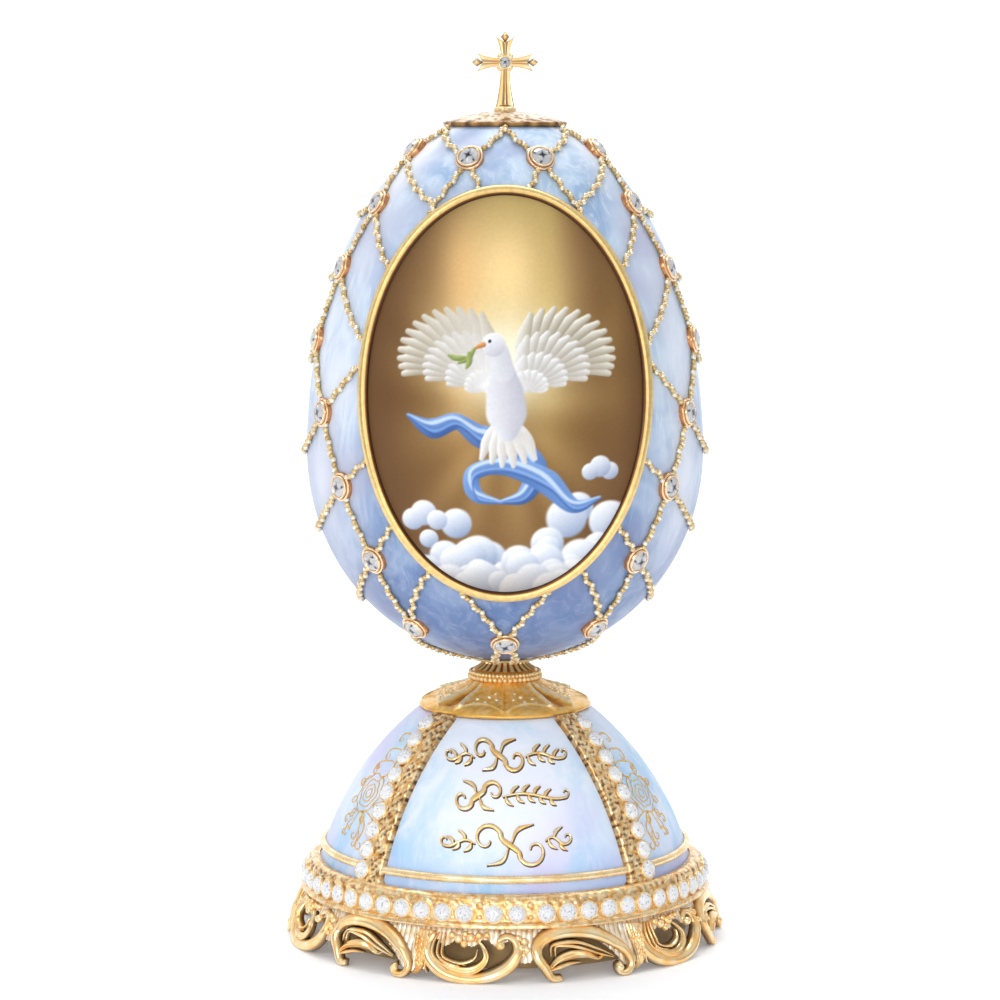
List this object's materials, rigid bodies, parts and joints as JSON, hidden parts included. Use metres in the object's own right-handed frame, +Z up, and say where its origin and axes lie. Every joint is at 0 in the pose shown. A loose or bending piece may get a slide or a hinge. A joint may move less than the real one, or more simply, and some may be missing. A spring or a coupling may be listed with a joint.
{
  "type": "porcelain egg ornament with stand",
  "caption": "Porcelain egg with an oval gilt frame, beaded lattice with crystals and a cross finial, on a domed porcelain base with gilt ribs and pierced scroll feet.",
  "frame": {"origin": "on the ground under the middle of the base", "axes": "+Z up, the oval picture faces -Y"},
  "size_m": [0.0926, 0.0936, 0.197],
  "materials": {
    "porcelain": "pearl glaze, pale blue with lilac",
    "gilt_metal": "polished gilt",
    "pale_gilt": "pale gilt with pearly highlights",
    "crystal": "cut and clear",
    "bronze": "dull brown gilt"
  },
  "bodies": {
    "root": {"base_drum": "bronze", "foot_skirt": "gilt_metal", "porcelain_dome": "porcelain", "dome_frame": "gilt_metal", "neck_pedestal": "gilt_metal", "porcelain_egg": "porcelain", "picture_frame": "gilt_metal", "bead_lattice": "pale_gilt", "egg_cap": "pale_gilt", "cross": "gilt_metal", "cross_stone": "crystal", "crystal_01": "crystal", "crystal_02": "crystal", "crystal_03": "crystal", "crystal_04": "crystal", "crystal_05": "crystal", "crystal_06": "crystal", "crystal_07": "crystal", "crystal_08": "crystal", "crystal_09": "crystal", "crystal_10": "crystal", "crystal_11": "crystal", "crystal_12": "crystal", "crystal_13": "crystal", "crystal_14": "crystal", "crystal_15": "crystal", "crystal_16": "crystal", "crystal_17": "crystal", "crystal_18": "crystal", "crystal_19": "crystal", "crystal_20": "crystal", "crystal_21": "crystal", "crystal_22": "crystal", "crystal_23": "crystal", "crystal_24": "crystal", "crystal_25": "crystal", "crystal_26": "crystal", "crystal_27": "crystal", "crystal_28": "crystal", "crystal_29": "crystal", "crystal_30": "crystal", "crystal_31": "crystal", "crystal_32": "crystal", "crystal_33": "crystal", "crystal_34": "crystal", "crystal_35": "crystal", "crystal_36": "crystal", "crystal_37": "crystal", "crystal_38": "crystal", "crystal_39": "crystal", "crystal_40": "crystal", "crystal_41": "crystal"}
  },
  "joints": []
}
